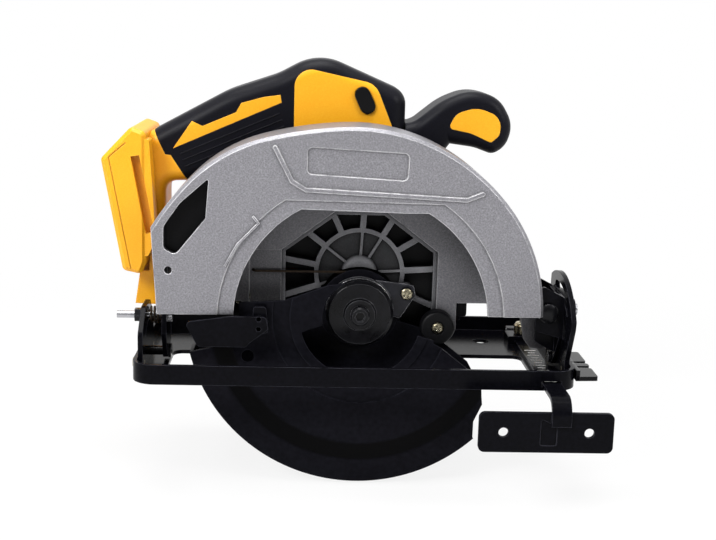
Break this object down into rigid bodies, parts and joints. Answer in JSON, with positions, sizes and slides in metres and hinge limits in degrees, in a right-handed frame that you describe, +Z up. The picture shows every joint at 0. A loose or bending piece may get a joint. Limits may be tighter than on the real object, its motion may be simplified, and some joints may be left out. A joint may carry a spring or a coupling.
{
  "type": "cordless circular saw",
  "caption": "Hand-held cordless circular saw with tilting shoe, depth hinge, swinging blade guard, D-handle and rip fence, shown without blade or battery.",
  "frame": {"origin": "on the sole plane of the shoe, in the blade plane, straight below the arbor at full depth and square cut", "axes": "+X is the cutting direction, +Y points from the blade to the motor, +Z is up"},
  "size_m": [0.2565, 0.185, 0.2191],
  "materials": {
    "black_steel": "black powder-coated sheet steel",
    "zinc_steel": "zinc-plated fasteners",
    "bright_steel": "ground steel",
    "cast_alloy": "shot-blasted cast alloy",
    "grey_plastic": "glass-filled dark plastic",
    "yellow_plastic": "fine-grain yellow plastic",
    "black_rubber": "soft overmould",
    "winding": "lacquered winding",
    "bronze": "sintered bronze"
  },
  "bodies": {
    "shoe": {"base_plate": "black_steel", "bevel_quadrant": "black_steel", "rear_bracket": "black_steel", "shoe_rivets": "zinc_steel", "sight_guide": "grey_plastic", "fence_guide": "black_steel", "bevel_pins": "zinc_steel"},
    "fence": {"rip_fence": "black_steel"},
    "fence_screw": {"fence_clamp_screw": "zinc_steel"},
    "tilt_frame": {"front_tilt_bracket": "black_steel", "bevel_stud": "zinc_steel", "depth_guide": "black_steel", "rear_stud": "zinc_steel", "rear_nut": "zinc_steel", "rear_spring": "bright_steel", "depth_bolt": "zinc_steel"},
    "bevel_clamp": {"bevel_lever": "black_steel"},
    "saw": {"upper_guard": "cast_alloy", "dust_chute": "grey_plastic", "guard_spring": "bright_steel", "guard_bumper": "black_rubber", "bumper_screw": "zinc_steel", "gear_case": "grey_plastic", "guard_retainer": "bright_steel", "retainer_screws": "zinc_steel", "case_screws": "zinc_steel", "spindle_bearing": "bright_steel", "spindle_bush": "bronze", "front_rotor_bearing": "bright_steel", "rear_rotor_bearing": "bright_steel", "motor_stator": "winding", "motor_housing": "yellow_plastic", "barrel_screws": "zinc_steel", "motor_end_cap": "grey_plastic", "handle_near": "yellow_plastic", "handle_far": "yellow_plastic", "grip_near": "black_rubber", "grip_far": "black_rubber", "handle_screws": "zinc_steel", "trigger_pin": "bright_steel", "power_switch": "grey_plastic", "front_handle": "black_rubber", "front_inlays": "yellow_plastic", "battery_foot": "yellow_plastic", "terminal_block": "grey_plastic", "depth_stud": "zinc_steel"},
    "depth_clamp": {"depth_lever": "black_steel"},
    "swing_guard": {"lower_guard": "black_steel", "guard_lever": "black_steel"},
    "arbor": {"spindle": "bright_steel", "drive_gear": "bright_steel", "inner_flange": "bright_steel", "outer_flange": "black_steel", "arbor_bolt": "black_steel"},
    "rotor": {"motor_rotor": "bright_steel", "motor_pinion": "bright_steel", "cooling_fan": "grey_plastic"},
    "arbor_lock": {"spindle_lock": "black_steel"},
    "switch_trigger": {"trigger": "grey_plastic"},
    "safety_button": {"lock_off_button": "grey_plastic"}
  },
  "joints": [
    {"name": "bevel_tilt", "type": "hinge", "parent": "shoe", "child": "tilt_frame", "pos_m": [0, 0.002, 0.007], "axis": [1, 0, 0], "range_deg": [0, 45]},
    {"name": "depth_swing", "type": "hinge", "parent": "tilt_frame", "child": "saw", "pos_m": [0.096, 0, 0.035], "axis": [0, 1, 0], "range_deg": [0, 28]},
    {"name": "guard_swing", "type": "hinge", "parent": "saw", "child": "swing_guard", "pos_m": [0, 0, 0.03], "axis": [0, 1, 0], "range_deg": [0, 120], "stiffness_Nm_per_rad": 0.12, "springref_deg": -91.67, "deforming": ["guard_spring"]},
    {"name": "rotor_spin", "type": "hinge", "parent": "saw", "child": "rotor", "pos_m": [0, 0, 0.048], "axis": [0, 1, 0], "continuous": true},
    {"name": "arbor_spin", "type": "hinge", "parent": "saw", "child": "arbor", "pos_m": [0, 0, 0.03], "axis": [0, 1, 0], "continuous": true},
    {"name": "arbor_lock_push", "type": "slide", "parent": "saw", "child": "arbor_lock", "axis": [-1, 0, 0], "range_m": [0, 0.004], "stiffness_N_per_m": 400, "springref_m": -0.004},
    {"name": "trigger_pull", "type": "hinge", "parent": "saw", "child": "switch_trigger", "pos_m": [-0.033, 0.042, 0.119], "axis": [0, 1, 0], "range_deg": [0, 9], "stiffness_Nm_per_rad": 0.5, "springref_deg": -17.19},
    {"name": "safety_push", "type": "slide", "parent": "saw", "child": "safety_button", "axis": [0, 1, 0], "range_m": [0, 0.004], "stiffness_N_per_m": 300, "springref_m": -0.004},
    {"name": "depth_clamp_turn", "type": "hinge", "parent": "saw", "child": "depth_clamp", "pos_m": [-0.062, 0.019, 0.035], "axis": [0, 1, 0], "range_deg": [0, 60]},
    {"name": "bevel_clamp_turn", "type": "hinge", "parent": "tilt_frame", "child": "bevel_clamp", "pos_m": [0.11, 0.002, 0.033], "axis": [1, 0, 0], "range_deg": [0, 50]},
    {"name": "fence_slide", "type": "slide", "parent": "shoe", "child": "fence", "axis": [0, 1, 0], "range_m": [-0.034, 0.018]},
    {"name": "fence_screw_turn", "type": "hinge", "parent": "shoe", "child": "fence_screw", "pos_m": [0.0956, 0.052, 0.008], "axis": [0, 0, 1], "range_deg": [-90, 180]}
  ],
  "couplings": [
    {"joint": "arbor_spin", "follows": "rotor_spin", "ratio": -0.33333}
  ]
}
